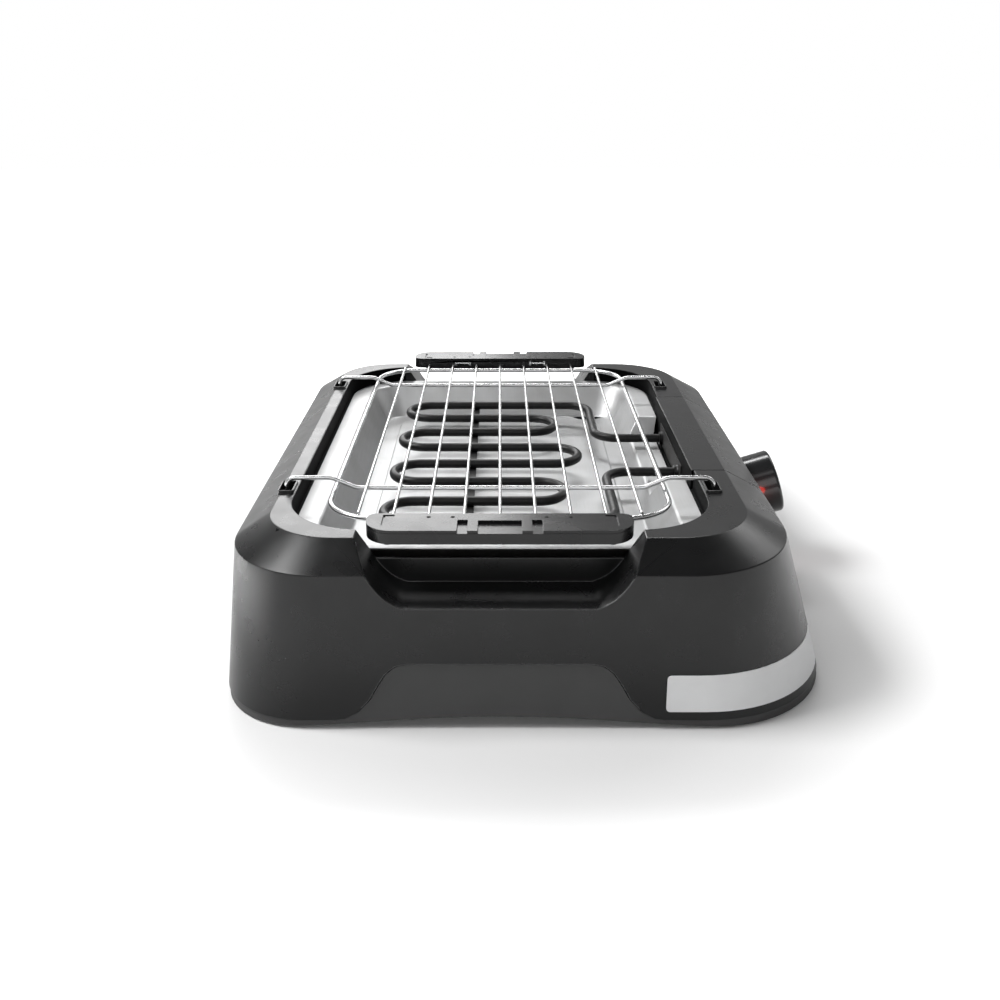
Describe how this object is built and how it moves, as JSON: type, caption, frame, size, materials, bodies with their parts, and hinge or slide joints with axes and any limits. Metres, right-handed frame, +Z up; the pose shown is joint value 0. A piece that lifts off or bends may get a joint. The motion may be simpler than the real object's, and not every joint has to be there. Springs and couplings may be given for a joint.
{
  "type": "electric table grill",
  "caption": "Low rectangular table-top electric grill: moulded housing, open reflector tray, serpentine element on a lift-out control box, wire rack with two handles.",
  "frame": {"origin": "centre of the footprint on the table, under the middle of the overall box", "axes": "+Z up, -Y towards the cook at the front, +X to the right where the control box and knob are"},
  "size_m": [0.4624, 0.5476, 0.1413],
  "materials": {
    "housing_plastic": "fine matt grain",
    "base_plastic": "matt",
    "foot_rubber": "matt",
    "screw_steel": "zinc plated",
    "pale_plastic": "satin, bare",
    "tray_steel": "polished sheet",
    "element_black": "oxidised, satin",
    "strap_steel": "oxidised",
    "shield_steel": "heat-darkened sheet",
    "thermostat_body": "moulded",
    "knob_plastic": "satin",
    "white_plastic": "satin",
    "lamp_glass": "clear",
    "red_lens": "translucent red",
    "rack_chrome": "bright plated",
    "handle_plastic": "fine matt grain"
  },
  "bodies": {
    "base": {"housing_shell": "housing_plastic", "base_pan": "base_plastic", "rubber_feet": "foot_rubber", "case_screws": "screw_steel", "pale_strip": "pale_plastic"},
    "tray": {"reflector_tray": "tray_steel"},
    "heating_unit": {"heating_element": "element_black", "element_strap": "strap_steel", "element_bushings": "element_black", "terminal_pins": "screw_steel", "heat_shield": "shield_steel", "control_cover": "housing_plastic", "control_floor": "base_plastic", "control_screws": "screw_steel", "thermostat_body": "thermostat_body", "shaft_nut": "screw_steel", "terminal_block": "white_plastic", "pilot_lamp": "lamp_glass", "pilot_lens": "red_lens", "interlock_switch": "base_plastic", "cord_gland": "foot_rubber"},
    "knob": {"thermostat_shaft": "screw_steel", "knob": "knob_plastic", "knob_insert": "white_plastic"},
    "rack": {"rack_frame": "rack_chrome", "rack_grid": "rack_chrome", "rack_cross_wires": "rack_chrome", "front_handle_base": "handle_plastic", "front_handle_cover": "handle_plastic", "rear_handle_base": "handle_plastic", "rear_handle_cover": "handle_plastic", "handle_clips": "rack_chrome", "handle_screws": "screw_steel"}
  },
  "joints": [
    {"name": "rack_lift", "type": "slide", "parent": "base", "child": "rack", "axis": [0, 0, 1], "range_m": [0, 0.12]},
    {"name": "unit_lift", "type": "slide", "parent": "base", "child": "heating_unit", "axis": [0, 0, 1], "range_m": [0, 0.015]},
    {"name": "tray_lift", "type": "slide", "parent": "base", "child": "tray", "axis": [0, 0, 1], "range_m": [0, 0.003]},
    {"name": "knob_turn", "type": "hinge", "parent": "heating_unit", "child": "knob", "pos_m": [0.19599, 0.003, 0.0733], "axis": [0.9534, 0, 0.3017], "range_deg": [-270, 0]}
  ]
}
